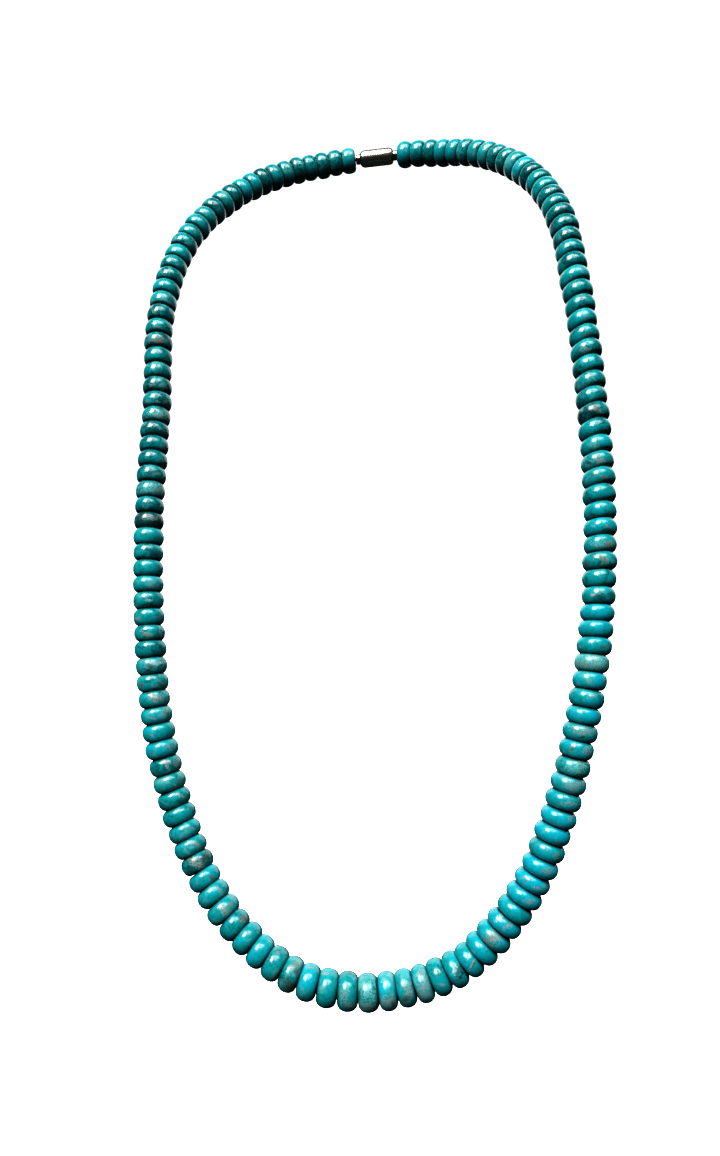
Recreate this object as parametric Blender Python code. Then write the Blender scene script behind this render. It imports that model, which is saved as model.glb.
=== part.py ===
"""A worn necklace: one closed strand of polished stone rondelles, fastened at the nape by a barrel clasp.

The origin is the spot on the nape that carries the strand. +Z is up, the wearer faces -Y, and the side
that the picture shows on the left is at -X. Lengths are in millimetres until the meshes are made.
"""

import math
import random

import bmesh
import bpy
from mathutils import Matrix, Vector

MILLIMETRE = 0.001

# Beads
BEAD_DIAMETER = 8.0
BEAD_LENGTH = 4.2
CONTACT_DIAMETER = 4.8
DIAMETER_SPREAD = 0.2
LENGTH_SPREAD = 0.15
BEAD_SIDES = 12
BEAD_SEED = 11

# Clasp
CLASP_LENGTH = 13.0
CLASP_DIAMETER = 5.2
SHOULDER_LENGTH = 1.6
SHOULDER_STEPS = 4
COLLAR_LENGTH = 1.2
COLLAR_DIAMETER = 3.0
CLASP_SIDES = 20

# Finish
STONE_COLOUR = (0.02, 0.36, 0.41)
STONE_ROUGHNESS = 0.25
SILVER_COLOUR = (0.78, 0.77, 0.74)
SILVER_ROUGHNESS = 0.25
SMOOTH_BELOW = math.radians(50)  # edges that turn less than this are shaded smooth

# Fit
CLEARANCE = 0.3

# Strand
LOOP_LENGTH = 604.0  # once round the centre line, clasp included
LEFT_SHARE = 0.497  # part of the loop on the left, from the middle of the clasp to where the runs meet
ROUTE_STEPS = 16

# Chosen points of the strand's centre line, measured from the nape, down the left side and up the right.
# They set its form, and the loop length sets its size
ROUTE = (
    (0, 0, 0),
    (-16.5, -2, -1),
    (-32, -10, -4.5),
    (-44.5, -23, -12.5),
    (-53.2, -37.5, -25),
    (-57, -52.5, -43.5),
    (-57, -65.5, -69),
    (-57.4, -78.5, -94),
    (-56.5, -90.5, -119.5),
    (-53.3, -102, -144),
    (-46.8, -111.5, -166.5),
    (-34.5, -121, -186.5),
    (-16.5, -126.8, -199.5),
    (3, -125.9, -203),
    (21.5, -121.7, -198.2),
    (36.4, -116, -183),
    (45.4, -109.9, -164.3),
    (51.6, -102, -143.5),
    (55.8, -92.8, -123),
    (57.8, -80.5, -96),
    (57.1, -67.5, -70),
    (55.2, -54.5, -45.5),
    (52, -39.5, -26),
    (44.5, -24, -13),
    (32, -10.5, -4.5),
    (16.5, -2, -1),
)

# How the beads are graded: place as a share of a run from where the runs meet, the left run counted
# below zero, then bead diameter and bead length as shares of their named sizes
GRADES = (
    (-1.00, 0.97, 1.00),
    (-0.62, 0.97, 1.03),
    (-0.35, 0.99, 1.00),
    (-0.17, 1.03, 1.00),
    (-0.07, 1.02, 1.07),
    (0.00, 1.10, 1.11),
    (0.04, 1.08, 0.97),
    (0.17, 1.07, 0.95),
    (0.27, 1.01, 0.95),
    (0.42, 1.01, 0.98),
    (0.62, 1.00, 1.00),
    (1.00, 0.98, 1.00),
)

# Outline of one bead: place along its length, and rise from the contact face to the rim, as shares
BEAD_OUTLINE = (
    (0.00, 0.00),
    (0.18, 0.77),
    (0.50, 1.00),
    (0.82, 0.77),
)


class Strand:
    """The closed centre line, a smooth curve through the chosen points, brought to its real length.

    The nape carries it at the rim of a bead, so the line lies half a bead behind the origin.
    """

    def __init__(self, route):
        knots = [Vector(point) for point in route]
        curve = []
        for index in range(len(knots)):
            four = [knots[(index + shift) % len(knots)] for shift in (-1, 0, 1, 2)]
            curve += smooth_span(four, ROUTE_STEPS)
        curve.append(curve[0])
        drawn_length = sum((ahead - here).length for here, ahead in zip(curve, curve[1:]))
        nape = Vector((0, BEAD_DIAMETER / 2, 0))
        self.points = [nape + point * (LOOP_LENGTH / drawn_length) for point in curve]
        self.reach = [0.0]
        for here, ahead in zip(self.points, self.points[1:]):
            self.reach.append(self.reach[-1] + (ahead - here).length)
        self.length = self.reach[-1]
        self.normal = sum(
            (here.cross(ahead) for here, ahead in zip(self.points, self.points[1:])), Vector()
        ).normalized()

    def point(self, distance):
        """The point this far along the strand."""
        distance %= self.length
        low, high = 0, len(self.reach) - 1
        while high - low > 1:
            middle = (low + high) // 2
            if self.reach[middle] <= distance:
                low = middle
            else:
                high = middle
        share = (distance - self.reach[low]) / (self.reach[high] - self.reach[low])
        return self.points[low].lerp(self.points[high], share)

    def place(self, distance):
        """A frame on the strand whose Z runs along it."""
        along = (self.point(distance + BEAD_LENGTH / 2) - self.point(distance - BEAD_LENGTH / 2)).normalized()
        return frame_at(self.point(distance), along, self.normal)


def smooth_span(four, steps):
    """Points from the second of four knots up to the third, on a centripetal Catmull-Rom curve."""
    times = [0.0]
    for here, ahead in zip(four, four[1:]):
        times.append(times[-1] + math.sqrt((ahead - here).length))

    def blend(a, b, start, end, time):
        return a.lerp(b, (time - start) / (end - start))

    points = []
    for step in range(steps):
        time = times[1] + (times[2] - times[1]) * step / steps
        first = [blend(four[i], four[i + 1], times[i], times[i + 1], time) for i in range(3)]
        second = [blend(first[i], first[i + 1], times[i], times[i + 2], time) for i in range(2)]
        points.append(blend(second[0], second[1], times[1], times[2], time))
    return points


def frame_at(centre, along, reference):
    """A matrix at centre whose Z is along, turned so that rings next to each other line up."""
    side = along.cross(reference).normalized()
    lift = along.cross(side)
    rotation = Matrix((side, lift, along)).transposed()
    return Matrix.Translation(centre) @ rotation.to_4x4()


def grade_at(place):
    """Diameter and length shares at a place from -1 to 1 along the strand."""
    place = max(GRADES[0][0], min(GRADES[-1][0], place))
    for (start, *low), (end, *high) in zip(GRADES, GRADES[1:]):
        if place <= end:
            share = (place - start) / (end - start)
            return [a + (b - a) * share for a, b in zip(low, high)]
    return GRADES[-1][1:]


def bead_sizes(side, run_length, draw):
    """Length and diameter of each bead of a run, from the meeting point to the clasp."""
    sizes = []
    filled = 0.0
    while True:
        diameter_share, length_share = grade_at(side * filled / run_length)
        length = BEAD_LENGTH * length_share + draw.uniform(-LENGTH_SPREAD, LENGTH_SPREAD)
        diameter = BEAD_DIAMETER * diameter_share + draw.uniform(-DIAMETER_SPREAD, DIAMETER_SPREAD)
        if filled + length / 2 > run_length:
            break
        sizes.append((length, diameter))
        filled += length
    stretch = run_length / filled
    return [(length * stretch, diameter) for length, diameter in sizes]


def run_rings(strand, side, draw):
    """Rings of a run of beads that touch face to face: a frame on the strand and a radius for each.

    side is 1 for the left run and -1 for the right one, which leaves the meeting point the other way.
    """
    meeting = strand.length * LEFT_SHARE
    start = meeting - side * CLEARANCE / 2
    reach = meeting if side > 0 else strand.length - meeting
    run_length = reach - CLEARANCE / 2 - CLEARANCE - CLASP_LENGTH / 2
    contact = CONTACT_DIAMETER / 2
    rings = []
    travelled = 0.0
    for length, diameter in bead_sizes(-side, run_length, draw):
        rise = diameter / 2 - contact
        for place, share in BEAD_OUTLINE:
            rings.append((strand.place(start - side * (travelled + place * length)), contact + rise * share))
        travelled += length
    rings.append((strand.place(start - side * travelled), contact))
    return rings


def clasp_rings(strand):
    """Rings of the barrel, which lies straight between the ends of the two runs."""
    half = CLASP_LENGTH / 2
    ends = strand.point(-half), strand.point(half)
    axis = frame_at((ends[0] + ends[1]) / 2, (ends[1] - ends[0]).normalized(), strand.normal)
    collar = COLLAR_DIAMETER / 2
    rise = CLASP_DIAMETER / 2 - collar
    profile = [(half, collar), (half - COLLAR_LENGTH, collar)]
    for step in range(1, SHOULDER_STEPS + 1):
        turn = math.pi / 2 * step / SHOULDER_STEPS
        height = half - COLLAR_LENGTH - SHOULDER_LENGTH * (1 - math.cos(turn))
        profile.append((height, collar + rise * math.sin(turn)))
    profile += [(-height, radius) for height, radius in reversed(profile)]
    return [(axis @ Matrix.Translation((0, 0, height)), radius) for height, radius in profile]


def add_lofted_body(name, rings, sides, material):
    """One closed body through a row of rings, with a flat face at each end."""
    mesh = bpy.data.meshes.new(name)
    body = bmesh.new()
    loops = []
    for frame, radius in rings:
        circle = bmesh.ops.create_circle(body, cap_ends=False, radius=radius, segments=sides, matrix=frame)
        loops.append(circle["verts"])
    for low, high in zip(loops, loops[1:]):
        for index in range(sides):
            ahead = (index + 1) % sides
            body.faces.new((low[index], low[ahead], high[ahead], high[index]))
    body.faces.new(loops[0])
    body.faces.new(loops[-1])
    bmesh.ops.recalc_face_normals(body, faces=body.faces)
    bmesh.ops.scale(body, vec=(MILLIMETRE,) * 3, verts=body.verts)
    body.to_mesh(mesh)
    body.free()
    mesh.materials.append(material)
    mesh.shade_smooth()
    mesh.set_sharp_from_angle(angle=SMOOTH_BELOW)
    piece = bpy.data.objects.new(name, mesh)
    bpy.context.collection.objects.link(piece)
    return piece


def plain_material(name, colour, roughness, metallic):
    """A Principled material of one colour."""
    material = bpy.data.materials.new(name)
    material.use_nodes = True
    shader = material.node_tree.nodes["Principled BSDF"]
    shader.inputs["Base Color"].default_value = (*colour, 1.0)
    shader.inputs["Roughness"].default_value = roughness
    shader.inputs["Metallic"].default_value = metallic
    return material


def main():
    for leftover in list(bpy.data.objects):
        bpy.data.objects.remove(leftover, do_unlink=True)
    strand = Strand(ROUTE)
    draw = random.Random(BEAD_SEED)
    for name, side in (("string_left", 1), ("string_right", -1)):
        stone = plain_material(f"{name}_stone", STONE_COLOUR, STONE_ROUGHNESS, 0.0)
        add_lofted_body(name, run_rings(strand, side, draw), BEAD_SIDES, stone)
    silver = plain_material("clasp_silver", SILVER_COLOUR, SILVER_ROUGHNESS, 1.0)
    add_lofted_body("clasp", clasp_rings(strand), CLASP_SIDES, silver)


main()
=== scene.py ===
"""The worn necklace as it looks: polished turquoise rondelles on a thread, with a clasp at the nape.

The beads stand where the model's runs of beads are, and each one is drilled, slightly uneven and cut from
its own piece of stone. Lengths are in millimetres until a mesh or a light is made. +Z is up, the wearer
faces -Y, and the beads that the picture shows are numbered along the strand from its upper left.
"""

import math
import random

import bpy
from mathutils import Matrix, Vector, noise


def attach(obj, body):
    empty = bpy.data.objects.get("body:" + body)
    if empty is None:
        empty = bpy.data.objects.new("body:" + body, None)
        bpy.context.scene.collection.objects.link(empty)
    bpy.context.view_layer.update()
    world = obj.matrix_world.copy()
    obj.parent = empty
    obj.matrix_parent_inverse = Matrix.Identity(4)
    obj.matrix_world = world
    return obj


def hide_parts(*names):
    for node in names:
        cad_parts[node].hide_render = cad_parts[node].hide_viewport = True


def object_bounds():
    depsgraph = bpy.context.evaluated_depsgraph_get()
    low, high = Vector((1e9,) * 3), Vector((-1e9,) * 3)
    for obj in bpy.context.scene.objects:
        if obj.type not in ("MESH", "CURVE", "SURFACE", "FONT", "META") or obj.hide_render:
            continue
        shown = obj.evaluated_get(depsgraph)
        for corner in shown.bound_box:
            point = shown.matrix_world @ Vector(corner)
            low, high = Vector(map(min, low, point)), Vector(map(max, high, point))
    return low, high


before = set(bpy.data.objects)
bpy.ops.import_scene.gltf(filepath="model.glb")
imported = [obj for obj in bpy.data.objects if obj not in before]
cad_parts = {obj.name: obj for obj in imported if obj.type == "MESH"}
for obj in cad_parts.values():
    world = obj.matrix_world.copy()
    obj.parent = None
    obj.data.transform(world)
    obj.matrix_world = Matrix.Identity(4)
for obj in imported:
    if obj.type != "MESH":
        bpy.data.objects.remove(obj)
model_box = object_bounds()

MILLIMETRE = 0.001

# Beads, as in the model
BEAD_DIAMETER = 8.0
BEAD_LENGTH = 4.2
DIAMETER_SPREAD = 0.2
LENGTH_SPREAD = 0.15
BEAD_SEED = 11

# Finer form of one bead
BORE_DIAMETER = 1.0
BORE_CHAMFER = 0.25
CONTACT_DIAMETER = 5.0  # a little wider than in the model, for narrower slits between the beads
BEAD_PRESS = 0.1  # how far each bead reaches into the next, so that no light shows between them in a bend
RIM_SQUARENESS = 2.05  # 2 is an ellipse
RIM_STEPS = 18
BEAD_SEGMENTS = 44
SMOOTH_BELOW = math.radians(40)  # edges that turn less than this are shaded smooth

# How uneven the beads are, at most
OVALNESS = 0.012  # share of the radius
WAVE_HEIGHT = 0.035
WAVE_LENGTH = 3.0
WEDGE = math.radians(1.2)
TILT = math.radians(1.5)
SHIFT_ACROSS = 0.08

# How the beads lean on the thread, by the picture's number for a bead: degrees clockwise in the picture,
# then degrees that the near side hangs down
LEANS = (
    (-15, 0, 0),
    (0, 3, -6),
    (8, 3.5, -5),
    (12, 3.5, -2),
    (19, 0, 5),
    (24, -1, 7),
    (30, -4.5, 6.5),
    (38, -5, 2),
    (44, -2.5, 0),
    (48, -1.5, 0),
    (54, -1.5, -2),
    (62, -0.5, 0),
    (68, -0.5, 2.5),
    (74, -4.5, 1),
    (80, -9.5, -4),
    (86, -17, -1.5),
    (92, -19, -1),
    (107, 0, 0),
)

# Clasp, as in the model
CLASP_LENGTH = 13.0
CLASP_DIAMETER = 5.2
SHOULDER_LENGTH = 1.6
COLLAR_LENGTH = 1.2
COLLAR_DIAMETER = 3.0

# Finer form of the clasp
SHOULDER_STEPS = 10
CLASP_SEGMENTS = 64
EDGE_ROUNDING = 0.12

# Thread
THREAD_DIAMETER = 0.6
THREAD_STEP = 1.5
THREAD_SIDES = 10
THREAD_INSERT = 1.0
PLY_PITCH = 1.4

# Fit, as in the model
CLEARANCE = 0.3

# Strand, as in the model
LOOP_LENGTH = 604.0
LEFT_SHARE = 0.497
ROUTE_STEPS = 16
ROUTE = (
    (0, 0, 0),
    (-16.5, -2, -1),
    (-32, -10, -4.5),
    (-44.5, -23, -12.5),
    (-53.2, -37.5, -25),
    (-57, -52.5, -43.5),
    (-57, -65.5, -69),
    (-57.4, -78.5, -94),
    (-56.5, -90.5, -119.5),
    (-53.3, -102, -144),
    (-46.8, -111.5, -166.5),
    (-34.5, -121, -186.5),
    (-16.5, -126.8, -199.5),
    (3, -125.9, -203),
    (21.5, -121.7, -198.2),
    (36.4, -116, -183),
    (45.4, -109.9, -164.3),
    (51.6, -102, -143.5),
    (55.8, -92.8, -123),
    (57.8, -80.5, -96),
    (57.1, -67.5, -70),
    (55.2, -54.5, -45.5),
    (52, -39.5, -26),
    (44.5, -24, -13),
    (32, -10.5, -4.5),
    (16.5, -2, -1),
)

# Place as a share of a run from where the runs meet, the left run counted below zero, then bead diameter
# and bead length as shares of their named sizes
GRADES = (
    (-1.00, 0.97, 1.00),
    (-0.62, 0.97, 1.03),
    (-0.35, 0.99, 1.00),
    (-0.17, 1.03, 1.00),
    (-0.07, 1.02, 1.07),
    (0.00, 1.10, 1.11),
    (0.04, 1.08, 0.97),
    (0.17, 1.07, 0.95),
    (0.27, 1.01, 0.95),
    (0.42, 1.01, 0.98),
    (0.62, 1.00, 1.00),
    (1.00, 0.98, 1.00),
)

# Colours: the painted shade between two beads, the stone from dark to its palest, its marks, the silver
# and the thread
CREVICE_SHADE = (0.001, 0.020, 0.020)
DARK_TEAL = (0.0, 0.040, 0.043)
DEEP_TEAL = (0.0, 0.100, 0.105)
TEAL = (0.004, 0.205, 0.215)
CYAN = (0.001, 0.275, 0.345)
MINT = (0.10, 0.29, 0.28)
BODY_TONES = (
    # colour, tone at which it starts to show, tone at which it is full
    (DEEP_TEAL, -0.9, -0.25),
    (TEAL, -0.45, 0.15),
    (CYAN, 0.1, 0.85),
)
MARK_COLOURS = {
    "mint": MINT,
    "white": (0.31, 0.39, 0.37),
    "grey": (0.13, 0.20, 0.19),
    "beige": (0.19, 0.215, 0.19),
    "tan": (0.165, 0.145, 0.115),
    "rust": (0.11, 0.06, 0.035),
    "brown": (0.055, 0.045, 0.035),
    "black": (0.004, 0.006, 0.006),
    "olive": (0.008, 0.032, 0.030),
}
SILVER = (0.78, 0.77, 0.74)
TARNISH = (0.30, 0.27, 0.22)
THREAD_TEAL = (0.03, 0.15, 0.15)
THREAD_SHADE = (0.006, 0.03, 0.03)

# Tones of the stones by word, how far chance moves them, and how cloudy a stone is
TONES = {"dark": -0.62, "deep": -0.24, "plain": 0.0, "bright": 0.18, "vivid": 0.45, "pale": 0.0}
TONE_SPREAD = 0.13
HIDDEN_TONE_SPREAD = 0.22
PALE_CLOUDS = 0.9
CHANCE_CLOUDS = 0.6
STONE_REACH = 100.0  # the beads are cut from the stone's pattern within this of its middle, each way

# Textures, each as scale in waves a millimetre, detail, distortion and roughness
TEXTURES = {
    "drift": (0.3, 5.0, 0.8, 0.62),
    "grain": (1.7, 6.0, 0.3, 0.68),
    "clouds": (0.33, 6.0, 0.5, 0.6),
    "edges": (1.5, 8.0, 0.4, 0.7),
    "crumbs": (4.0, 5.0, 0.3, 0.7),
    "flecks": (1.3, 3.0, 1.5, 0.6),
    "rings": (14.0, 3.0, 0.0, 0.7),
    "wear": (0.7, 6.0, 0.0, 0.65),
    "fluff": (6.0, 4.0, 0.0, 0.5),
}

# Between which of its values a texture is read. Nearly all of a texture lies in the usual span
USUAL = (0.3, 0.7)
DRIFT_SPAN = (0.27, 0.73)
EDGE_SPAN = (0.25, 0.75)
COVER_SPAN = (0.35, 0.65)

# What a texture gives at the low end of its span and at the high end
DRIFT_TONES = (-0.38, 0.34)
GRAIN_TONES = (-0.26, 0.26)
STONE_POLISH = (0.16, 0.24)
SILVER_POLISH = (0.20, 0.27)
THREAD_ROUGHNESS = (0.6, 0.85)

# Where in their textures the clouds and flecks begin and are full, and how much they then cover
CLOUD_EDGES = (0.56, 0.74)
CLOUD_WEIGHT = 0.14  # how far a bead's own cloudiness moves its clouds' edges
CLOUD_COVER = 0.75
FLECK_EDGES = (0.63, 0.71)
FLECK_COVER = 0.65

# Painted shade next to a contact face, where the neighbouring bead shades the stone: how much it covers,
# and between which shares of the way out it fades
CREVICE_SHADE_COVER = 0.98
CREVICE_SHADE_RISE = (0.26, 0.8)

# Marks: how ragged and grainy their edges are and from where to where they fade in, all in half sizes of a
# mark, then how densely they cover the stone, how their colour is mottled, and how much rougher they are
MARK_RAGGEDNESS = 0.9
MARK_GRAININESS = 0.5
MARK_FADE = (1.4, 0.5)
MARK_COVER = (0.4, 0.95)
MARK_MOTTLING = (0.6, 1.35)
MARK_ROUGHNESS = 0.12

# Silver: from which wear to which it tarnishes, how much at each and how much more at the ends, then from
# which wear to which it grows rougher, and by how much
TARNISH_EDGES = (0.4, 0.9)
TARNISH_COVER = (0.45, 1.0)
END_TARNISH = 0.35
WORN_EDGES = (0.4, 0.75)
WORN_ROUGHNESS = 0.08

# Thread: how fluffy its plies are, and between which heights its grooves grow light
FLUFF_HEIGHT = 0.2
GROOVE_EDGES = (-0.8, 0.4)

# Bumps: strength and depth
STONE_BUMP = (0.12, 0.04)
SILVER_BUMP = (0.3, 0.02)
THREAD_BUMP = (0.7, 0.1)

# How the beads' tone shifts along the strand, by the picture's number for a bead: partly the stones' own
# tone and partly painted light and shade, darker towards the tops of the strand, where less light falls,
# and lighter about the bottom and the lower right run
TONE_AND_SHADE_SHIFTS = (
    (-15, -0.10),
    (0, 0.05),
    (12, 0.0),
    (17, 0.0),
    (21, 0.0),
    (26, -0.02),
    (38, 0.08),
    (50, 0.16),
    (68, 0.30),
    (74, 0.26),
    (79, 0.12),
    (84, -0.03),
    (92, -0.06),
    (107, -0.10),
)

PICTURE_MEETING = 46  # the picture's number for the first bead of the right run
MARKS_PER_BEAD = 3
NO_MARK = ("mint", 100.0, 100.0, 1.0, 1.0, 0)  # too far from any bead to show

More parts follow.
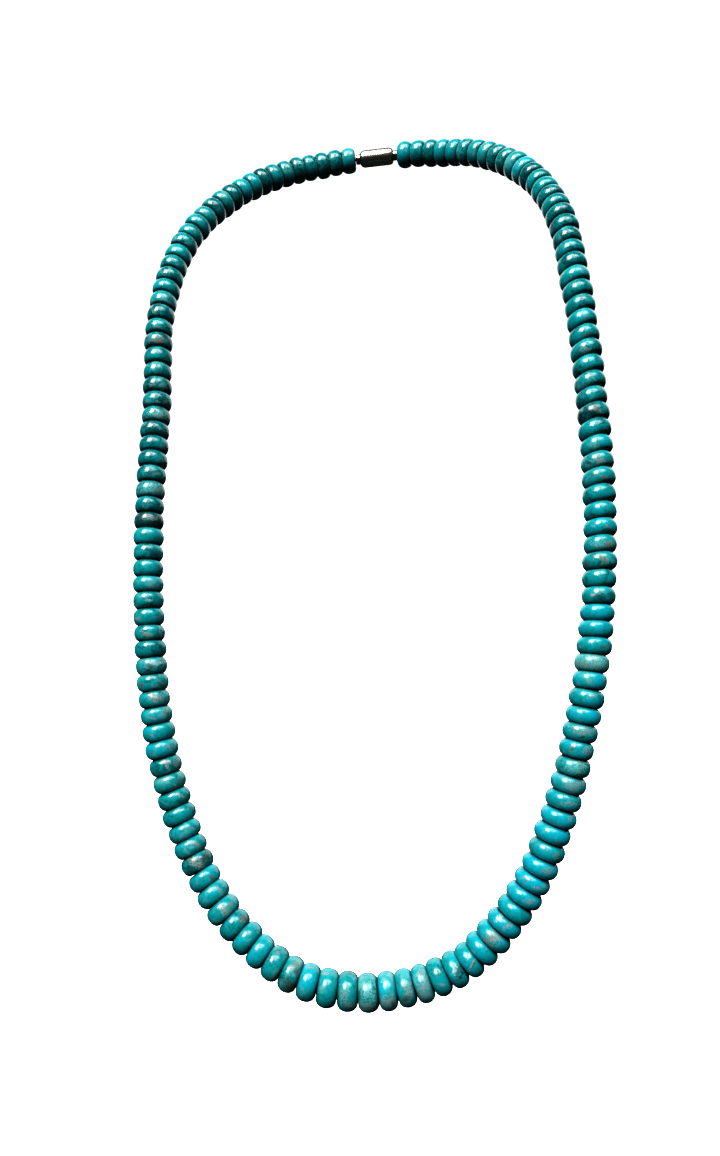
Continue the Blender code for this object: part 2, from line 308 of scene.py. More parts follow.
# The stones that the picture shows, by bead: their tone, then what marks them, each as kind, place to the
# right and upwards from the middle of the bead, width, height and turn
STONES = {
    0: ("deep", ("grey", -0.6, 0.9, 2.4, 0.9, 0)),
    1: ("deep", ("grey", -0.2, 0.9, 4.6, 1.6, 0), ("tan", 0.2, 0.8, 2.4, 0.7, 0)),
    2: ("plain",),
    3: ("bright",),
    4: ("deep", ("grey", -1.5, 0.8, 1.8, 0.7, 0), ("tan", 2.2, 0.2, 0.8, 0.5, 0)),
    5: (
        "deep",
        ("mint", 0.0, 0.4, 1.2, 0.8, 0),
        ("tan", 2.4, 0.5, 0.9, 0.6, 0),
        ("grey", -2.4, 0.4, 1.2, 0.7, 0),
    ),
    6: ("plain", ("grey", 1.3, 0.5, 5.2, 2.6, 0), ("mint", 0.4, 0.9, 4.5, 1.4, 0)),
    7: ("deep",),
    8: ("deep", ("black", -0.1, -0.5, 2.4, 0.7, 0)),
    9: ("plain", ("olive", 2.5, -0.4, 1.6, 1.4, 0), ("grey", 3.0, 0.4, 1.0, 0.8, 0)),
    10: ("deep", ("rust", -1.5, -0.4, 0.4, 1.3, 15), ("grey", 1.6, 0.6, 1.8, 0.7, 0)),
    11: ("plain", ("mint", 0.8, 0.4, 6.0, 2.6, 0), ("grey", 2.6, -0.2, 2.4, 1.6, 0)),
    12: ("deep",),
    13: ("dark", ("olive", 0.0, 0.0, 9.0, 5.0, 0), ("grey", 0.4, 1.0, 4.0, 0.9, 0)),
    14: ("plain",),
    15: ("plain",),
    16: ("plain",),
    17: ("plain",),
    18: ("bright", ("black", -0.3, -1.1, 3.4, 1.1, 0), ("white", 0.1, 0.1, 1.2, 0.5, 0)),
    19: ("bright", ("tan", 2.7, -0.3, 0.9, 1.4, 0), ("beige", -2.8, -0.4, 1.2, 0.8, 0)),
    20: (
        "plain",
        ("beige", -0.7, -0.1, 3.0, 0.7, 20),
        ("tan", -1.4, -0.4, 1.4, 0.5, 20),
        ("beige", 2.6, 0.3, 0.5, 1.9, -15),
    ),
    21: ("bright", ("black", 2.3, 0.3, 0.5, 0.6, 0)),
    22: (
        "bright",
        ("white", 0.7, 0.6, 3.0, 1.1, 0),
        ("brown", -0.2, -0.1, 2.2, 1.0, 30),
        ("black", -1.0, -1.0, 1.4, 0.7, 20),
    ),
    23: (
        "bright",
        ("tan", 1.9, 0.1, 2.6, 0.4, 35),
        ("rust", -2.7, -0.5, 0.8, 1.0, 0),
        ("black", 0.6, -1.6, 2.4, 0.4, 0),
    ),
    24: (
        "bright",
        ("beige", 0.6, 0.2, 3.6, 1.7, 10),
        ("brown", -0.8, 1.3, 1.8, 0.5, 20),
        ("white", 0.2, 0.5, 1.8, 0.5, 10),
    ),
    25: (
        "plain",
        ("beige", 2.3, 0.3, 0.55, 3.6, 18),
        ("tan", 2.2, 0.9, 0.4, 1.4, 18),
        ("beige", -1.0, -0.8, 1.2, 0.4, 10),
    ),
    26: ("bright", ("beige", -1.8, -0.8, 0.9, 0.4, 30)),
    27: ("bright", ("tan", -1.7, -0.4, 0.45, 1.9, 28), ("grey", 1.8, 0.4, 2.2, 1.4, 15)),
    28: (
        "plain",
        ("beige", 0.2, 0.1, 0.6, 3.4, -28),
        ("beige", 0.3, 1.0, 2.2, 0.7, 10),
        ("grey", 2.8, 0.4, 1.6, 2.2, 0),
    ),
    29: ("bright", ("rust", 2.2, 0.2, 0.8, 0.7, 0), ("beige", 1.2, -0.7, 0.7, 0.5, 0)),
    30: ("plain", ("beige", 1.4, 0.6, 2.0, 0.7, 20)),
    31: ("bright",),
    32: ("plain", ("tan", 1.7, 0.5, 1.2, 0.5, 20)),
    33: ("bright", ("tan", 1.9, 0.2, 1.3, 0.7, 20), ("beige", 0.6, 0.8, 2.2, 0.6, 20)),
    34: (
        "plain",
        ("brown", 1.9, 0.9, 1.6, 2.0, 30),
        ("beige", -0.2, -0.3, 4.6, 1.5, 30),
        ("olive", -1.9, -1.2, 1.8, 1.0, 10),
    ),
    35: ("vivid", ("rust", 1.8, -0.2, 0.7, 1.7, -35), ("tan", -1.8, -0.6, 0.4, 1.1, 0)),
    36: ("plain", ("grey", 1.0, 1.2, 1.8, 0.8, 30)),
    37: ("plain", ("beige", 0.4, -0.3, 3.4, 1.6, 40), ("tan", 1.7, 1.1, 1.2, 1.0, 40)),
    38: ("plain", ("brown", 2.0, 1.4, 0.9, 1.5, 10), ("tan", 1.9, 1.0, 1.4, 1.6, 10)),
    39: ("plain",),
    40: ("vivid",),
    41: ("plain", ("grey", 0.6, 2.2, 1.4, 0.8, 0)),
    42: (
        "deep",
        ("tan", 0.9, 1.9, 1.8, 1.4, -20),
        ("brown", 1.6, -0.2, 1.1, 2.4, -25),
        ("brown", -0.2, -2.3, 3.6, 1.6, 30),
    ),
    43: ("vivid", ("grey", 0.2, 3.1, 2.0, 0.7, 0)),
    44: ("bright", ("beige", -0.3, 3.0, 1.8, 0.7, 0)),
    45: ("bright", ("grey", -0.9, -0.8, 2.0, 2.8, 0), ("beige", 0.6, -2.9, 2.8, 1.0, 0)),
    46: ("pale", ("mint", 0.2, 0.4, 3.0, 4.6, 0), ("grey", 0.0, -2.9, 3.0, 1.4, 0)),
    47: (
        "vivid",
        ("beige", 0.0, -2.3, 4.0, 2.0, 0),
        ("white", -0.6, 1.9, 1.2, 1.0, 0),
        ("brown", 1.3, -2.6, 0.9, 1.2, 0),
    ),
    48: (
        "plain",
        ("beige", 0.7, -1.2, 1.8, 2.2, 20),
        ("brown", -0.2, -2.3, 2.8, 1.1, -20),
        ("grey", 0.2, 0.3, 2.0, 1.8, 0),
    ),
    49: ("pale", ("beige", -0.3, 1.9, 1.8, 2.2, 15), ("grey", 0.1, -0.9, 2.6, 3.4, 15)),
    50: ("bright", ("beige", 0.6, -1.6, 1.5, 0.5, 10)),
    51: (
        "plain",
        ("brown", 1.1, -0.1, 1.2, 4.6, 22),
        ("black", 1.5, -0.9, 0.6, 2.8, 22),
        ("white", -0.2, -0.2, 0.9, 1.9, 15),
    ),
    52: (
        "bright",
        ("beige", 0.9, -0.6, 0.5, 3.8, 30),
        ("white", -0.2, 0.6, 0.6, 1.3, 20),
        ("brown", 1.1, -0.8, 0.3, 2.2, 30),
    ),
    53: ("vivid",),
    54: ("bright", ("tan", -0.8, -0.6, 1.7, 3.6, 35), ("beige", 0.3, -0.3, 2.6, 2.8, 35)),
    55: ("vivid", ("white", -1.1, 1.1, 2.2, 1.1, -40), ("beige", 0.9, -0.6, 2.2, 0.8, -35)),
    56: ("bright",),
    57: ("vivid", ("beige", 1.2, -1.4, 2.2, 0.8, -20)),
    58: (
        "vivid",
        ("rust", -1.3, -0.1, 0.9, 0.4, -30),
        ("beige", 1.0, -1.5, 1.5, 0.6, 0),
        ("beige", -2.0, 0.6, 1.4, 0.5, -40),
    ),
    59: ("vivid", ("grey", 1.7, -1.0, 2.4, 1.2, -10)),
    60: ("plain", ("tan", 2.2, -1.1, 1.0, 0.9, 0)),
    61: ("vivid",),
    62: ("vivid", ("grey", 2.6, -0.3, 1.0, 1.4, 0)),
    63: ("plain", ("grey", 1.2, -0.9, 3.2, 0.9, -5)),
    64: ("pale", ("grey", 1.2, -0.4, 4.2, 1.9, -10)),
    65: (
        "deep",
        ("mint", 0.6, -0.3, 4.2, 2.7, 0),
        ("tan", 2.0, 0.7, 0.7, 1.4, 20),
        ("brown", 0.7, 1.4, 2.6, 0.4, -10),
    ),
    66: (
        "bright",
        ("tan", -1.0, 0.2, 0.7, 2.0, 20),
        ("grey", 2.4, -0.4, 2.0, 1.8, 0),
        ("brown", -0.9, 0.0, 0.4, 1.0, 20),
    ),
    67: (
        "plain",
        ("grey", 0.8, 0.2, 4.2, 1.8, 0),
        ("beige", -1.7, 1.0, 1.4, 0.6, 20),
        ("olive", 0.4, -1.2, 2.0, 0.6, 0),
    ),
    68: ("bright",),
    69: ("plain", ("beige", 1.3, 0.3, 1.9, 0.6, -30), ("white", 1.0, 0.6, 1.2, 0.5, 0)),
    70: ("vivid",),
    71: (
        "pale",
        ("mint", 0.0, 0.0, 9.0, 5.0, 0),
        ("beige", 0.7, 0.6, 0.6, 3.4, 5),
        ("grey", -1.8, -0.2, 2.6, 1.8, 0),
    ),
    72: ("bright", ("brown", 2.2, 0.0, 1.2, 0.8, 0)),
    73: ("bright",),
    74: ("bright",),
    75: (
        "plain",
        ("white", -0.9, 0.4, 1.6, 0.7, -20),
        ("olive", 2.6, 0.3, 1.4, 1.3, 0),
        ("black", 0.3, -0.2, 2.2, 1.7, 0),
    ),
    76: ("plain",),
    77: (
        "plain",
        ("tan", 0.8, 0.6, 1.3, 2.2, -25),
        ("brown", -0.8, 1.5, 2.4, 0.5, 15),
        ("brown", -2.9, -0.6, 1.2, 1.6, 0),
    ),
    78: ("plain", ("tan", 1.8, 0.3, 2.6, 1.1, 0), ("mint", -0.8, 0.3, 3.0, 1.4, 0)),
    79: (
        "bright",
        ("olive", 1.6, -0.4, 2.6, 1.0, 20),
        ("mint", -1.7, 0.6, 1.2, 0.6, 0),
        ("tan", 1.8, 0.6, 1.2, 0.6, 30),
    ),
    80: ("plain", ("olive", -1.5, -0.6, 2.0, 0.6, 10)),
    81: ("plain", ("black", 3.1, -0.5, 1.4, 1.2, 0)),
    82: ("bright", ("brown", -1.3, 1.1, 1.7, 0.6, 20), ("tan", 1.3, 0.4, 1.9, 0.6, 10)),
    83: ("plain", ("beige", 0.5, 0.5, 2.6, 1.7, 30), ("olive", -2.0, 0.0, 1.6, 0.6, 30)),
    84: ("plain", ("olive", 2.1, -0.2, 0.8, 0.6, 0)),
    85: ("plain",),
    86: (
        "deep",
        ("beige", 0.8, 1.1, 3.0, 0.9, 20),
        ("black", 0.1, 0.1, 3.2, 2.2, 35),
        ("black", -3.0, -0.2, 1.9, 2.0, 0),
    ),
    87: ("plain", ("rust", 0.3, -0.8, 0.9, 0.6, 0)),
    88: ("bright",),
    89: ("plain", ("olive", -2.7, -0.8, 1.4, 1.0, 0)),
    90: ("plain", ("grey", 0.6, 0.3, 3.8, 1.4, 15)),
    91: ("bright", ("rust", 0.9, 0.6, 1.2, 0.8, 0)),
    92: ("plain", ("black", 2.0, -0.3, 2.9, 1.7, 20)),
}

# Camera
CAMERA_PLACE = (33.9, -291.6, -60.0)
CAMERA_HEADING = 9.56  # degrees from +Y towards -X
CAMERA_PITCH = -14.23
CAMERA_ROLL = -4.5
CAMERA_LENS = 27.12
CAMERA_SENSOR = 36.0
CAMERA_NEAREST = 10.0
CAMERA_FARTHEST = 100000.0

# Softboxes: azimuth from the front towards the wearer's left, elevation, width and height as degrees seen
# from the beads, and radiance. The last is a broad dim one that shows the clasp from behind
LIGHT_DISTANCE = 1500.0
LIGHT_TARGET = (0, -80, -110)
SOFTBOXES = {
    "key_softbox": (-32, 58, 26, 26, 20.5),
    "top_softbox": (0, 80, 50, 16, 8.0),
    "side_softbox": (48, 60, 40, 18, 5.5),
    "back_softbox": (180, 20, 100, 60, 1.4),
}

# Stage
FLOOR_DROP = 180.0
FLOOR_SIZE = 40000.0
FLOOR_COLOUR = (0.9, 0.9, 0.9)
FLOOR_ROUGHNESS = 0.9
FLOOR_GLOW = 0.95
WHITE = (1.0, 1.0, 1.0)
BACKDROP_STRENGTH = 1.05
ROOM_BELOW = 0.025  # brightness of the room that the beads see, at the horizon and below
ROOM_ABOVE = 0.05

# How the camera is turned
AIM = Matrix.Rotation(math.radians(CAMERA_HEADING), 4, "Z")
AIM @= Matrix.Rotation(math.radians(90 + CAMERA_PITCH), 4, "X")
AIM @= Matrix.Rotation(math.radians(CAMERA_ROLL), 4, "Z")


class Strand:
    """The closed centre line, a smooth curve through the chosen points, brought to its real length."""

    def __init__(self, route):
        knots = [Vector(point) for point in route]
        curve = []
        for index in range(len(knots)):
            four = [knots[(index + shift) % len(knots)] for shift in (-1, 0, 1, 2)]
            curve += smooth_span(four, ROUTE_STEPS)
        curve.append(curve[0])
        drawn_length = sum((ahead - here).length for here, ahead in zip(curve, curve[1:]))
        nape = Vector((0, BEAD_DIAMETER / 2, 0))
        self.points = [nape + point * (LOOP_LENGTH / drawn_length) for point in curve]
        self.reach = [0.0]
        for here, ahead in zip(self.points, self.points[1:]):
            self.reach.append(self.reach[-1] + (ahead - here).length)
        self.length = self.reach[-1]
        self.normal = sum(
            (here.cross(ahead) for here, ahead in zip(self.points, self.points[1:])), Vector()
        ).normalized()

    def point(self, distance):
        """The point this far along the strand."""
        distance %= self.length
        low, high = 0, len(self.reach) - 1
        while high - low > 1:
            middle = (low + high) // 2
            if self.reach[middle] <= distance:
                low = middle
            else:
                high = middle
        share = (distance - self.reach[low]) / (self.reach[high] - self.reach[low])
        return self.points[low].lerp(self.points[high], share)

    def place(self, distance):
        """A frame on the strand whose Z runs along it."""
        along = self.point(distance + BEAD_LENGTH / 2) - self.point(distance - BEAD_LENGTH / 2)
        return frame_at(self.point(distance), along.normalized(), self.normal)


def smooth_span(four, steps):
    """Points from the second of four knots up to the third, on a centripetal Catmull-Rom curve."""
    times = [0.0]
    for here, ahead in zip(four, four[1:]):
        times.append(times[-1] + math.sqrt((ahead - here).length))

    def blend(a, b, start, end, time):
        return a.lerp(b, (time - start) / (end - start))

    points = []
    for step in range(steps):
        time = times[1] + (times[2] - times[1]) * step / steps
        first = [blend(four[i], four[i + 1], times[i], times[i + 1], time) for i in range(3)]
        second = [blend(first[i], first[i + 1], times[i], times[i + 2], time) for i in range(2)]
        points.append(blend(second[0], second[1], times[1], times[2], time))
    return points


def frame_at(centre, along, reference):
    """A matrix at centre whose Z is along, turned so that rings next to each other line up."""
    side = along.cross(reference).normalized()
    lift = along.cross(side)
    rotation = Matrix((side, lift, along)).transposed()
    return Matrix.Translation(centre) @ rotation.to_4x4()


def read_at(table, place):
    """What a table's rows say at a place between them."""
    place = max(table[0][0], min(table[-1][0], place))
    for (start, *low), (end, *high) in zip(table, table[1:]):
        if place <= end:
            share = (place - start) / (end - start)
            return [a + (b - a) * share for a, b in zip(low, high)]


def bead_sizes(side, run_length, draw):
    """Length and diameter of each bead of a run, from the meeting point to the clasp."""
    sizes = []
    filled = 0.0
    while True:
        diameter_share, length_share = read_at(GRADES, side * filled / run_length)
        length = BEAD_LENGTH * length_share + draw.uniform(-LENGTH_SPREAD, LENGTH_SPREAD)
        diameter = BEAD_DIAMETER * diameter_share + draw.uniform(-DIAMETER_SPREAD, DIAMETER_SPREAD)
        if filled + length / 2 > run_length:
            break
        sizes.append((length, diameter))
        filled += length
    stretch = run_length / filled
    return [(length * stretch, diameter) for length, diameter in sizes]


def run_of_beads(strand, side, draw):
    """Middle, length and diameter of each bead of a run. side is 1 for the left run and -1 for the other.

    The first beads of the two runs reach over the model's clearance, so that they touch as the others do.
    """
    meeting = strand.length * LEFT_SHARE
    start = meeting - side * CLEARANCE / 2
    reach = meeting if side > 0 else strand.length - meeting
    run_length = reach - CLEARANCE / 2 - CLEARANCE - CLASP_LENGTH / 2
    beads = []
    travelled = 0.0
    for length, diameter in bead_sizes(-side, run_length, draw):
        beads.append((start - side * (travelled + length / 2), length, diameter))
        travelled += length
    middle, length, diameter = beads[0]
    beads[0] = (middle + side * CLEARANCE / 4, length + CLEARANCE / 2, diameter)
    return beads


def bead_profile(length, diameter):
    """The closed outline of a drilled rondelle on one side of its axis, as (radius, height) pairs."""
    half = length / 2 + BEAD_PRESS / 2
    bore = BORE_DIAMETER / 2
    contact = CONTACT_DIAMETER / 2
    rise = diameter / 2 - contact
    rim = []
    for step in range(RIM_STEPS + 1):
        turn = math.pi * step / RIM_STEPS
        outward = math.sin(turn) ** (2 / RIM_SQUARENESS)
        upward = math.copysign(abs(math.cos(turn)) ** (2 / RIM_SQUARENESS), math.cos(turn))
        rim.append((contact + rise * outward, half * upward))
    upper = [(bore, half - BORE_CHAMFER), (bore + BORE_CHAMFER, half)]
    lower = [(radius, -height) for radius, height in reversed(upper)]
    return upper + rim + lower


def add_bead(run, place, length, diameter, look):
    """Adds one bead's vertices and faces to a run, with its own unevenness and its place in the stone."""
    profile = bead_profile(length, diameter)
    first = len(run["places"])
    contact = CONTACT_DIAMETER / 2
    centre = place.translation
    view = view_axes(centre)
    clockwise, hanging = look["lean"]
    lean = Matrix.Rotation(-clockwise, 4, view[2]) @ Matrix.Rotation(hanging, 4, view[0])
    turned = Matrix.Translation(centre) @ lean @ Matrix.Translation(-centre) @ place @ look["unevenness"]
    for radius, height in profile:
        rise = max(0.0, (radius - contact) / (diameter / 2 - contact))
        for segment in range(BEAD_SEGMENTS):
            turn = 2 * math.pi * segment / BEAD_SEGMENTS
            oval = 1 + look["oval"] * math.cos(2 * (turn - look["oval_turn"]))
            local = Vector((radius * oval * math.cos(turn), radius * oval * math.sin(turn), height))
            wave = noise.noise(local / WAVE_LENGTH + look["stone_shift"]) * WAVE_HEIGHT * rise
            local *= 1 + wave * 2 / diameter
            local.z += math.tan(look["wedge"]) * local.x * (height / length) * rise
            spot = turned @ local
            run["places"].append(spot * MILLIMETRE)
            run["stone_place"].append(local + look["stone_shift"])
            # tone, cloudiness, and the share of the way out from the contact face, which places the
            # painted shade where beads meet
            run["stone_kind_and_shade"].append((look["tone"], look["clouds"], rise))
            for mark, (kind, *facts) in enumerate(look["marks"]):
                run[f"mark_{mark}"].append(mark_offset(spot - centre, view, *facts))
                run[f"mark_{mark}_colour"].append(MARK_COLOURS[kind])
    rows = len(profile)
    for row in range(rows):
        below = first + row * BEAD_SEGMENTS
        above = first + (row + 1) % rows * BEAD_SEGMENTS
        for segment in range(BEAD_SEGMENTS):
            ahead = (segment + 1) % BEAD_SEGMENTS
            run["faces"].append((below + segment, above + segment, above + ahead, below + ahead))


def view_axes(centre):
    """The ways right, up and back towards the camera from a bead, as the picture looks at it."""
    back = (Vector(CAMERA_PLACE) - centre).normalized()
    right = AIM.col[1].to_3d().cross(back).normalized()
    return right, back.cross(right), back


def mark_offset(offset, view, right, upward, width, height, turn):
    """How far a spot is from a mark: in half widths, in half heights, and in millimetres to the back."""
    turn = math.radians(turn)
    across, above, towards = (offset.dot(axis) for axis in view)
    across -= right
    above -= upward
    behind = min(0.0, towards)
    return Vector((
        (across * math.cos(turn) - above * math.sin(turn)) * 2 / width,
        (across * math.sin(turn) + above * math.cos(turn)) * 2 / height,
        behind,
    ))


def bead_look(number, draw):
    """How uneven one bead is and which stone it was cut from, by chance and as the picture shows it."""
    tilts = [Matrix.Rotation(draw.uniform(-TILT, TILT), 4, axis) for axis in "XY"]
    shifts = [draw.uniform(-SHIFT_ACROSS, SHIFT_ACROSS) for axis in "XY"]
    look = {
        "lean": [math.radians(angle) for angle in read_at(LEANS, number)],
        "unevenness": Matrix.Translation((*shifts, 0)) @ (tilts[0] @ tilts[1]),
        "oval": draw.uniform(0, OVALNESS),
        "oval_turn": draw.uniform(0, math.pi),
        "wedge": draw.uniform(-WEDGE, WEDGE),
        "stone_shift": Vector([draw.uniform(-STONE_REACH, STONE_REACH) for axis in "XYZ"]),
        "tone": draw.gauss(0, 1),
        "clouds": draw.random() ** 3,
    }
    shown = number in STONES
    word, *marks = STONES.get(number, ("plain",))
    spread = TONE_SPREAD if shown else HIDDEN_TONE_SPREAD
    # the shift along the strand is partly painted light and shade
    look["tone"] = look["tone"] * spread + TONES[word] + read_at(TONE_AND_SHADE_SHIFTS, number)[0]
    look["clouds"] = PALE_CLOUDS if word == "pale" else look["clouds"] * CHANCE_CLOUDS
    look["marks"] = (marks + [NO_MARK] * MARKS_PER_BEAD)[:MARKS_PER_BEAD]
    return look


def add_beads(name, node, strand, side, size_draw, material):
    """Adds one run of beads as one piece that stands for its node."""
    vectors = ["stone_place", "stone_kind_and_shade"] + [f"mark_{mark}" for mark in range(MARKS_PER_BEAD)]
    colours = [f"mark_{mark}_colour" for mark in range(MARKS_PER_BEAD)]
    run = {key: [] for key in ["places", "faces"] + vectors + colours}
    look_draw = random.Random(f"looks of {name}")
    beads = run_of_beads(strand, side, size_draw)
    for index, (distance, length, diameter) in enumerate(beads):
        number = PICTURE_MEETING - 1 - index if side > 0 else PICTURE_MEETING + index
        look = bead_look(number, look_draw)
        add_bead(run, strand.place(distance), length, diameter, look)
    mesh = bpy.data.meshes.new(name)
    mesh.from_pydata(run["places"], [], run["faces"])
    for attribute in vectors + colours:
        layer = mesh.attributes.new(attribute, "FLOAT_VECTOR", "POINT")
        layer.data.foreach_set("vector", [value for vector in run[attribute] for value in vector])
    add_piece(name, mesh, material, replaces=node, slot="turquoise")


def add_piece(name, mesh, material, replaces=None, slot=None):
    """Adds a smooth piece that rides on the necklace's one body."""
    mesh.materials.append(material)
    mesh.shade_smooth()
    mesh.set_sharp_from_angle(angle=SMOOTH_BELOW)
    piece = bpy.data.objects.new(name, mesh)
    bpy.context.collection.objects.link(piece)
    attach(piece, "root")
    if replaces:
        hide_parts(replaces)


def loft(rings, sides):
    """Places and faces of a closed body through rings, each a frame and a radius, with flat ends."""
    places = []
    for frame_here, radius in rings:
        for side in range(sides):
            turn = 2 * math.pi * side / sides
            local = Vector((radius * math.cos(turn), radius * math.sin(turn), 0))
            places.append(frame_here @ local * MILLIMETRE)
    faces = []
    for row in range(len(rings) - 1):
        below = row * sides
        above = below + sides
        for side in range(sides):
            ahead = (side + 1) % sides
            faces.append((below + side, below + ahead, above + ahead, above + side))
    faces.append(tuple(reversed(range(sides))))
    faces.append(tuple(range((len(rings) - 1) * sides, len(rings) * sides)))
    return places, faces


def add_loft(name, rings, sides, material, **facts):
    """Adds a lofted piece whose vertices keep their place round their ring, twice a turn, and along it."""
    places, faces = loft(rings, sides)
    mesh = bpy.data.meshes.new(name)
    mesh.from_pydata(places, [], faces)
    twist_place = []
    travelled = 0.0
    centre = rings[0][0].translation
    for ring in rings:
        travelled += (ring[0].translation - centre).length
        centre = ring[0].translation
        for side in range(sides):
            turn = 4 * math.pi * side / sides
            twist_place += [math.cos(turn), math.sin(turn), travelled]
    mesh.attributes.new("twist_place", "FLOAT_VECTOR", "POINT").data.foreach_set("vector", twist_place)
    add_piece(name, mesh, material, **facts)


def clasp_rings(strand):
    """Rings of the barrel, in the model's form with rounder shoulders and softened edges."""
    half = CLASP_LENGTH / 2
    ends = strand.point(-half), strand.point(half)
    axis = frame_at((ends[0] + ends[1]) / 2, (ends[1] - ends[0]).normalized(), strand.normal)
    collar = COLLAR_DIAMETER / 2
    rise = CLASP_DIAMETER / 2 - collar
    profile = [
        (-half, THREAD_DIAMETER / 2),
        (-half, collar - EDGE_ROUNDING),
        (-half + EDGE_ROUNDING, collar),
    ]
    for step in range(SHOULDER_STEPS + 1):
        turn = math.pi / 2 * step / SHOULDER_STEPS
        height = half - COLLAR_LENGTH - SHOULDER_LENGTH * (1 - math.cos(turn))
        profile.append((-height, collar + rise * math.sin(turn)))
    profile += [(-height, radius) for height, radius in reversed(profile)]
    return [(axis @ Matrix.Translation((0, 0, height)), radius) for height, radius in profile]


def thread_rings(strand):
    """Rings of the thread, from one end of the clasp round the loop to the other."""
    start = CLASP_LENGTH / 2 - THREAD_INSERT
    span = strand.length - 2 * start
    count = round(span / THREAD_STEP)
    return [(strand.place(start + span * step / count), THREAD_DIAMETER / 2) for step in range(count + 1)]


class Material:
    """One node material, with short calls that add a node and return what comes out of it."""

    def __init__(self, name):
        self.material = bpy.data.materials.new(name)
        self.material.use_nodes = True
        self.tree = self.material.node_tree
        self.shader = self.tree.nodes["Principled BSDF"]

    def put(self, socket, value):
        """Sets a socket to a value, or links it to another node's output."""
        if isinstance(value, bpy.types.NodeSocket):
            self.tree.links.new(value, socket)
        elif isinstance(value, tuple) and len(value) == 3 and socket.type == "RGBA":
            socket.default_value = (*value, 1.0)
        else:
            socket.default_value = value

    def add(self, kind, inputs, output=0, **settings):
        """One output of a new node, whose inputs and settings are given."""
        node = self.tree.nodes.new("ShaderNode" + kind)
        for setting, value in settings.items():
            setattr(node, setting, value)
        for key, value in inputs.items():
            self.put(node.inputs[key], value)
        return node.outputs[output]

    def attribute(self, name):
        return self.add("Attribute", {}, "Vector", attribute_name=name)

    def maths(self, operation, first, second=0.0):
        return self.add("Math", {0: first, 1: second}, operation=operation)

    def texture(self, name, place):
        """One of the named textures, read at a place in millimetres."""
        inputs = dict(zip(("Scale", "Detail", "Distortion", "Roughness"), TEXTURES[name]))
        return self.add("TexNoise", {"Vector": place, **inputs})

    def fade(self, value, start, end, low=0.0, high=1.0):
        """Low until value reaches start, high once it is past end, and smooth between."""
        inputs = {"Value": value, "From Min": start, "From Max": end, "To Min": low, "To Max": high}
        return self.add("MapRange", inputs, interpolation_type="SMOOTHSTEP")

    def mix(self, share, first, second):
        """The first colour with this share of the second mixed in."""
        return self.add("Mix", {0: share, 6: first, 7: second}, 2, data_type="RGBA")

    def scale(self, vector, factor):
        return self.add("VectorMath", {0: vector, 3: factor}, operation="SCALE")

    def set_bump(self, height, strength, depth):
        """Gives the surface bumps of this depth in millimetres."""
        inputs = {"Strength": strength, "Distance": depth * MILLIMETRE, "Height": height}
        self.put(self.shader.inputs["Normal"], self.add("Bump", inputs))


def turquoise():
    """Polished turquoise: a blue-green body with clouds, marks and matrix, and painted shade where beads
    meet.
    """
    stone = Material("polished_turquoise")
    place = stone.attribute("stone_place")
    kind = stone.add("SeparateXYZ", {0: stone.attribute("stone_kind_and_shade")}).node.outputs
    grain = stone.texture("grain", place)
    body = stone_body(stone, place, kind, grain)
    body, wear = with_marks(stone, place, body)
    flecks = stone.fade(stone.texture("flecks", place), *FLECK_EDGES, 0.0, FLECK_COVER)
    body = stone.mix(flecks, body, MARK_COLOURS["brown"])
    # painted shade: the stone is darkened next to each contact face, where the neighbouring bead shades it
    body = stone.mix(stone.fade(kind["Z"], *CREVICE_SHADE_RISE, CREVICE_SHADE_COVER, 0.0), body, CREVICE_SHADE)
    stone.put(stone.shader.inputs["Base Color"], body)
    polish = stone.fade(grain, *USUAL, *STONE_POLISH)
    rough = stone.maths("ADD", polish, stone.maths("MULTIPLY", wear, MARK_ROUGHNESS))
    stone.put(stone.shader.inputs["Roughness"], rough)
    stone.set_bump(grain, *STONE_BUMP)
    return stone.material


def stone_body(stone, place, kind, grain):
    """The stone's colour, from dark teal to cyan with its tone, which drifts and is grainy; the tone also
    carries the painted light and shade along the strand.
    """
    drift = stone.fade(stone.texture("drift", place), *DRIFT_SPAN, *DRIFT_TONES)
    grains = stone.fade(grain, *USUAL, *GRAIN_TONES)
    tone = stone.maths("ADD", stone.maths("ADD", kind["X"], drift), grains)
    body = DARK_TEAL
    for colour, start, full in BODY_TONES:
        body = stone.mix(stone.fade(tone, start, full), body, colour)
    cloudiness = stone.maths("MULTIPLY", kind["Y"], CLOUD_WEIGHT)
    clouds = stone.maths("ADD", stone.texture("clouds", place), cloudiness)
    return stone.mix(stone.fade(clouds, *CLOUD_EDGES, 0.0, CLOUD_COVER), body, MINT)


def with_marks(stone, place, body):
    """The stone's colour with the marks on it, which have ragged edges, and how much they cover."""
    edges = stone.fade(stone.texture("edges", place), *EDGE_SPAN, -MARK_RAGGEDNESS, MARK_RAGGEDNESS)
    crumbs = stone.texture("crumbs", place)
    grains = stone.fade(crumbs, *USUAL, MARK_GRAININESS, -MARK_GRAININESS)
    cover = stone.fade(crumbs, *COVER_SPAN, *MARK_COVER)
    mottling = stone.fade(crumbs, *USUAL, *MARK_MOTTLING)
    covered = 0.0
    for mark in range(MARKS_PER_BEAD):
        offset = stone.attribute(f"mark_{mark}")
        distance = stone.add("VectorMath", {0: offset}, "Value", operation="LENGTH")
        ragged = stone.maths("ADD", stone.maths("ADD", distance, edges), grains)
        share = stone.maths("MULTIPLY", stone.fade(ragged, *MARK_FADE), cover)
        colour = stone.scale(stone.attribute(f"mark_{mark}_colour"), mottling)
        body = stone.mix(share, body, colour)
        covered = stone.maths("MAXIMUM", covered, share)
    return body, covered


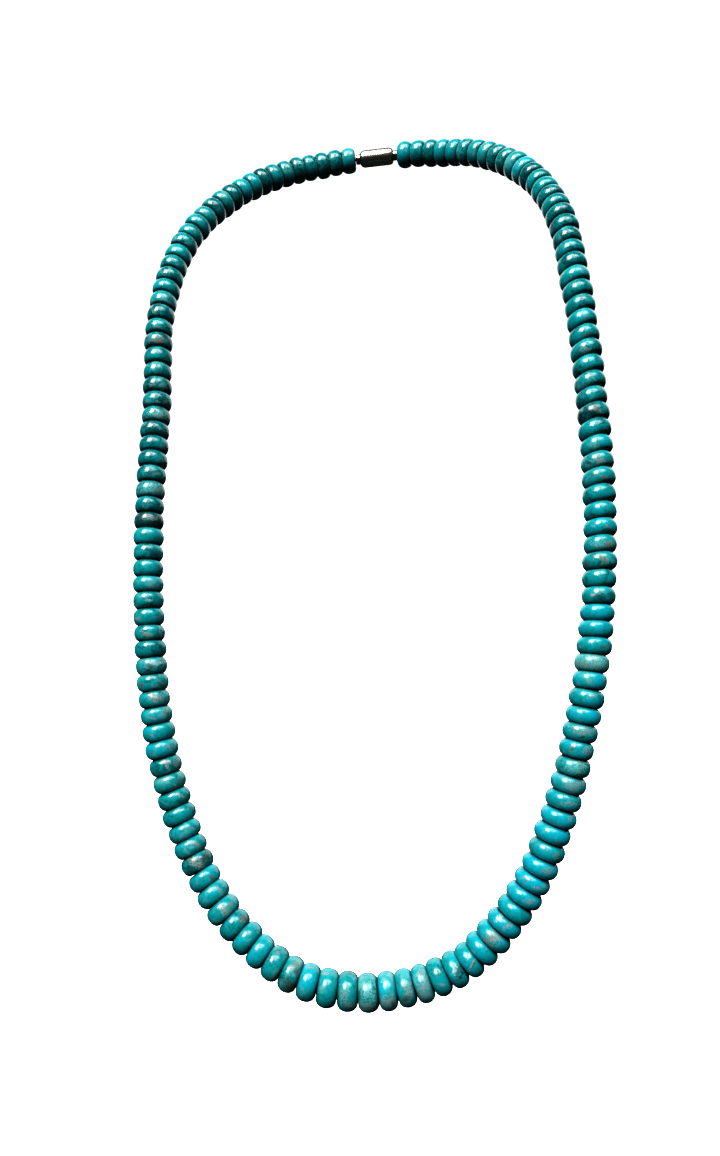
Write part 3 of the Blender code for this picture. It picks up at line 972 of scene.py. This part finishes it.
def silver():
    """Polished silver with fine rings from the lathe, soft wear and a darker tint next to the ends."""
    metal = Material("worn_silver")
    along = metal.add("SeparateXYZ", {0: metal.attribute("twist_place")}, "Z")
    rings = metal.texture("rings", metal.add("CombineXYZ", {"Z": along}))
    wear = metal.texture("wear", metal.scale(metal.add("TexCoord", {}, "Object"), 1 / MILLIMETRE))
    from_middle = metal.maths("ABSOLUTE", metal.maths("SUBTRACT", along, CLASP_LENGTH / 2))
    shoulder = CLASP_LENGTH / 2 - COLLAR_LENGTH
    inside, outside = shoulder - SHOULDER_LENGTH / 2, shoulder + COLLAR_LENGTH / 4
    ends = metal.fade(from_middle, inside, outside, 0.0, END_TARNISH)
    tint = metal.fade(metal.maths("ADD", wear, ends), *TARNISH_EDGES, *TARNISH_COVER)
    metal.put(metal.shader.inputs["Base Color"], metal.mix(tint, SILVER, TARNISH))
    metal.shader.inputs["Metallic"].default_value = 1.0
    polish = metal.fade(rings, *USUAL, *SILVER_POLISH)
    rough = metal.maths("ADD", polish, metal.fade(wear, *WORN_EDGES, 0.0, WORN_ROUGHNESS))
    metal.put(metal.shader.inputs["Roughness"], rough)
    metal.set_bump(rings, *SILVER_BUMP)
    return metal.material


def twisted_thread():
    """Teal thread of two plies, whose grooves wind round it."""
    thread = Material("twisted_thread")
    place = thread.add("SeparateXYZ", {0: thread.attribute("twist_place")}).node.outputs
    winding = thread.maths("MULTIPLY", place["Z"], 2 * math.pi / PLY_PITCH)
    across = thread.maths("MULTIPLY", place["X"], thread.maths("COSINE", winding))
    around = thread.maths("MULTIPLY", place["Y"], thread.maths("SINE", winding))
    ply = thread.maths("ADD", across, around)
    fluff = thread.texture("fluff", thread.attribute("twist_place"))
    height = thread.maths("ADD", ply, thread.fade(fluff, *USUAL, -FLUFF_HEIGHT, FLUFF_HEIGHT))
    colour = thread.mix(thread.fade(height, *GROOVE_EDGES), THREAD_SHADE, THREAD_TEAL)
    thread.put(thread.shader.inputs["Base Color"], colour)
    thread.put(thread.shader.inputs["Roughness"], thread.fade(fluff, *USUAL, *THREAD_ROUGHNESS))
    thread.set_bump(height, *THREAD_BUMP)
    return thread.material


def add_softbox(name, azimuth, elevation, width, height, radiance):
    """A plain rectangular softbox that faces the beads, with the watts that give it its radiance."""
    azimuth, elevation = math.radians(azimuth), math.radians(elevation)
    direction = Vector((
        math.sin(azimuth) * math.cos(elevation),
        -math.cos(azimuth) * math.cos(elevation),
        math.sin(elevation),
    ))
    distance = LIGHT_DISTANCE * MILLIMETRE
    light = bpy.data.lights.new(name, "AREA")
    light.shape = "RECTANGLE"
    light.size = 2 * distance * math.tan(math.radians(width) / 2)
    light.size_y = 2 * distance * math.tan(math.radians(height) / 2)
    light.energy = radiance * math.pi * light.size * light.size_y
    lamp = bpy.data.objects.new(name, light)
    lamp.location = Vector(LIGHT_TARGET) * MILLIMETRE + direction * distance
    lamp.rotation_euler = direction.to_track_quat("Z", "Y").to_euler()
    lamp.visible_camera = False
    bpy.context.collection.objects.link(lamp)


def add_camera():
    """The camera, placed where it sees the necklace as the picture shows it."""
    camera = bpy.data.cameras.new("camera")
    camera.lens = CAMERA_LENS
    camera.sensor_width = CAMERA_SENSOR
    camera.clip_start = CAMERA_NEAREST * MILLIMETRE
    camera.clip_end = CAMERA_FARTHEST * MILLIMETRE
    eye = bpy.data.objects.new("camera", camera)
    eye.matrix_world = Matrix.Translation(Vector(CAMERA_PLACE) * MILLIMETRE) @ AIM
    bpy.context.collection.objects.link(eye)
    bpy.context.scene.camera = eye


def add_floor():
    """A plain white floor well below the necklace, which throws no light back up at the beads."""
    low = model_box[0].z - FLOOR_DROP * MILLIMETRE
    half = FLOOR_SIZE * MILLIMETRE / 2
    mesh = bpy.data.meshes.new("floor")
    corners = [(-half, -half, low), (half, -half, low), (half, half, low), (-half, half, low)]
    mesh.from_pydata(corners, [], [(0, 1, 2, 3)])
    white = Material("white_floor")
    for key, value in (
        ("Base Color", FLOOR_COLOUR),
        ("Roughness", FLOOR_ROUGHNESS),
        ("Emission Color", WHITE),
        ("Emission Strength", FLOOR_GLOW),
    ):
        white.put(white.shader.inputs[key], value)
    mesh.materials.append(white.material)
    floor = bpy.data.objects.new("floor", mesh)
    bpy.context.collection.objects.link(floor)
    floor.visible_diffuse = False
    floor.visible_glossy = False


def set_world():
    """White where the camera sees it. The beads see a dim room instead, a little brighter overhead."""
    world = bpy.data.worlds.new("studio")
    bpy.context.scene.world = world
    world.use_nodes = True
    tree = world.node_tree
    tree.nodes.clear()
    direction = tree.nodes.new("ShaderNodeTexCoord").outputs["Generated"]
    height = tree.nodes.new("ShaderNodeSeparateXYZ")
    tree.links.new(direction, height.inputs[0])
    room = tree.nodes.new("ShaderNodeValToRGB")
    tree.links.new(height.outputs["Z"], room.inputs[0])
    for stop, brightness in zip(room.color_ramp.elements, (ROOM_BELOW, ROOM_ABOVE)):
        stop.color = (brightness, brightness, brightness, 1.0)
    seen = tree.nodes.new("ShaderNodeBackground")
    seen.inputs["Color"].default_value = (*WHITE, 1.0)
    seen.inputs["Strength"].default_value = BACKDROP_STRENGTH
    lighting = tree.nodes.new("ShaderNodeBackground")
    tree.links.new(room.outputs["Color"], lighting.inputs["Color"])
    lighting.inputs["Strength"].default_value = 1.0
    path = tree.nodes.new("ShaderNodeLightPath")
    choice = tree.nodes.new("ShaderNodeMixShader")
    tree.links.new(path.outputs["Is Camera Ray"], choice.inputs[0])
    tree.links.new(lighting.outputs[0], choice.inputs[1])
    tree.links.new(seen.outputs[0], choice.inputs[2])
    output = tree.nodes.new("ShaderNodeOutputWorld")
    tree.links.new(choice.outputs[0], output.inputs["Surface"])


strand = Strand(ROUTE)
size_draw = random.Random(BEAD_SEED)
stone = turquoise()
add_beads("beads_left", "string_left", strand, 1, size_draw, stone)
add_beads("beads_right", "string_right", strand, -1, size_draw, stone)
barrel = clasp_rings(strand)
add_loft("clasp_barrel", barrel, CLASP_SEGMENTS, silver(), replaces="clasp", slot="clasp_silver")
add_loft("thread", thread_rings(strand), THREAD_SIDES, twisted_thread())
add_floor()
set_world()
for name, facts in SOFTBOXES.items():
    add_softbox(name, *facts)
add_camera()
bpy.context.scene.view_settings.view_transform = "Standard"
bpy.context.scene.view_settings.look = "High Contrast"
